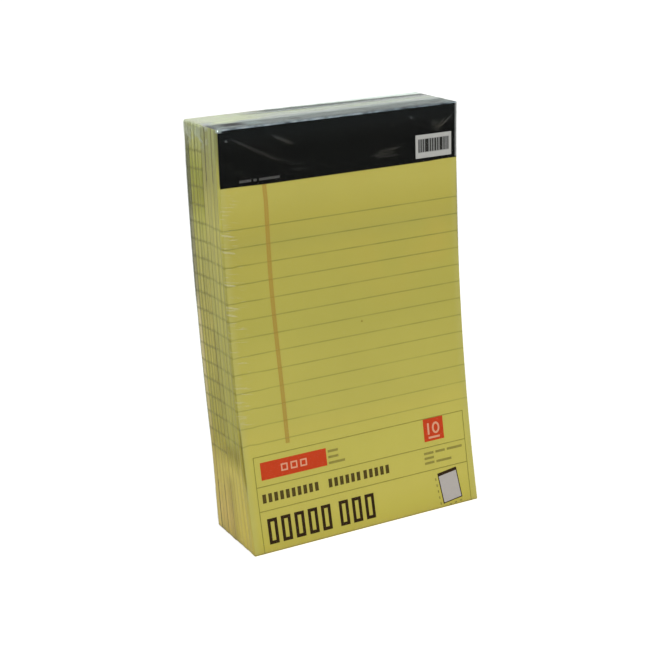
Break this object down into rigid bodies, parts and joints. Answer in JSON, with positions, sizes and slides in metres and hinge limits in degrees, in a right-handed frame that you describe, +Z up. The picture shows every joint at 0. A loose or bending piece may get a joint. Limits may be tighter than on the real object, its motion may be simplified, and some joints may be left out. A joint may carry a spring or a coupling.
{
  "type": "pack of ruled writing pads",
  "caption": "Upright block of yellow ruled writing pads behind a printed cover sheet with a black header, held together by clear shrink film.",
  "frame": {"origin": "centre of the pack's bounding box at the foot of the film", "axes": "+Z up towards the bound ends of the front pads, -Y is the direction that the cover faces, +X to the cover's right"},
  "size_m": [0.1282, 0.0566, 0.2038],
  "materials": {
    "yellow_paper": "matt yellow writing paper",
    "grey_board": "grey chipboard",
    "black_tape": "black binding tape, slight sheen",
    "staple_wire": "bright staple wire",
    "black_ink": "solid black print on paper",
    "white_ink": "unprinted white",
    "rule_ink": "thin green-grey ruling",
    "margin_ink": "orange-red margin line",
    "olive_ink": "olive print",
    "red_ink": "solid red print",
    "brown_ink": "dark brown print",
    "grey_ink": "light grey print",
    "clear_film": "clear glossy shrink film"
  },
  "bodies": {
    "root": {"pad_01_sheets": "yellow_paper", "pad_01_board": "grey_board", "pad_01_binding": "black_tape", "pad_02_sheets": "yellow_paper", "pad_02_board": "grey_board", "pad_02_binding": "black_tape", "pad_03_sheets": "yellow_paper", "pad_03_board": "grey_board", "pad_03_binding": "black_tape", "pad_04_sheets": "yellow_paper", "pad_04_board": "grey_board", "pad_04_binding": "black_tape", "pad_05_sheets": "yellow_paper", "pad_05_board": "grey_board", "pad_05_binding": "black_tape", "pad_06_sheets": "yellow_paper", "pad_06_board": "grey_board", "pad_06_binding": "black_tape", "pad_07_sheets": "yellow_paper", "pad_07_board": "grey_board", "pad_07_binding": "black_tape", "pad_08_sheets": "yellow_paper", "pad_08_board": "grey_board", "pad_08_binding": "black_tape", "pad_09_sheets": "yellow_paper", "pad_09_board": "grey_board", "pad_09_binding": "black_tape", "pad_10_sheets": "yellow_paper", "pad_10_board": "grey_board", "pad_10_binding": "black_tape", "staples": "staple_wire", "cover_sheet": "yellow_paper", "header_print": "black_ink", "header_white_print": "white_ink", "ruling_print": "rule_ink", "margin_print": "margin_ink", "label_frame_print": "olive_ink", "label_red_print": "red_ink", "label_white_print": "white_ink", "label_dark_print": "brown_ink", "label_grey_print": "grey_ink", "label_small_print": "olive_ink", "shrink_film": "clear_film"}
  },
  "joints": []
}
